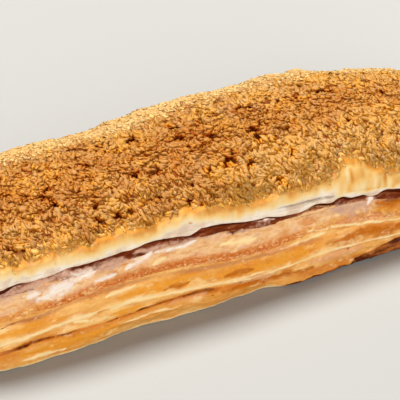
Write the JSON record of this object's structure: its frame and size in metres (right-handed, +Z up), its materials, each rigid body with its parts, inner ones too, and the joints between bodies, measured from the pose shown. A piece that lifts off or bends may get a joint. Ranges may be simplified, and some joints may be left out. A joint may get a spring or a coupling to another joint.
{
  "type": "eclair",
  "caption": "Layered puff-pastry eclair with a thin dark sweet layer and a domed cream topping rolled in golden-brown crumbs.",
  "frame": {"origin": "on the surface it rests on, under the middle of the bar", "axes": "+X along the bar, towards its thinner end; -Y towards the side that the picture shows; +Z up"},
  "size_m": [0.1384, 0.0386, 0.0328],
  "materials": {
    "puff_pastry": "baked puff pastry, golden with browner seams, satin where it is glazed",
    "dark_layer": "soft dark brown spread, glossy, smeared with cream",
    "crumbed_cream": "pale cream coated in matte golden-brown flaky crumbs"
  },
  "bodies": {
    "root": {"pastry": "puff_pastry", "dark_layer": "dark_layer", "crumbed_cream": "crumbed_cream"}
  },
  "joints": []
}
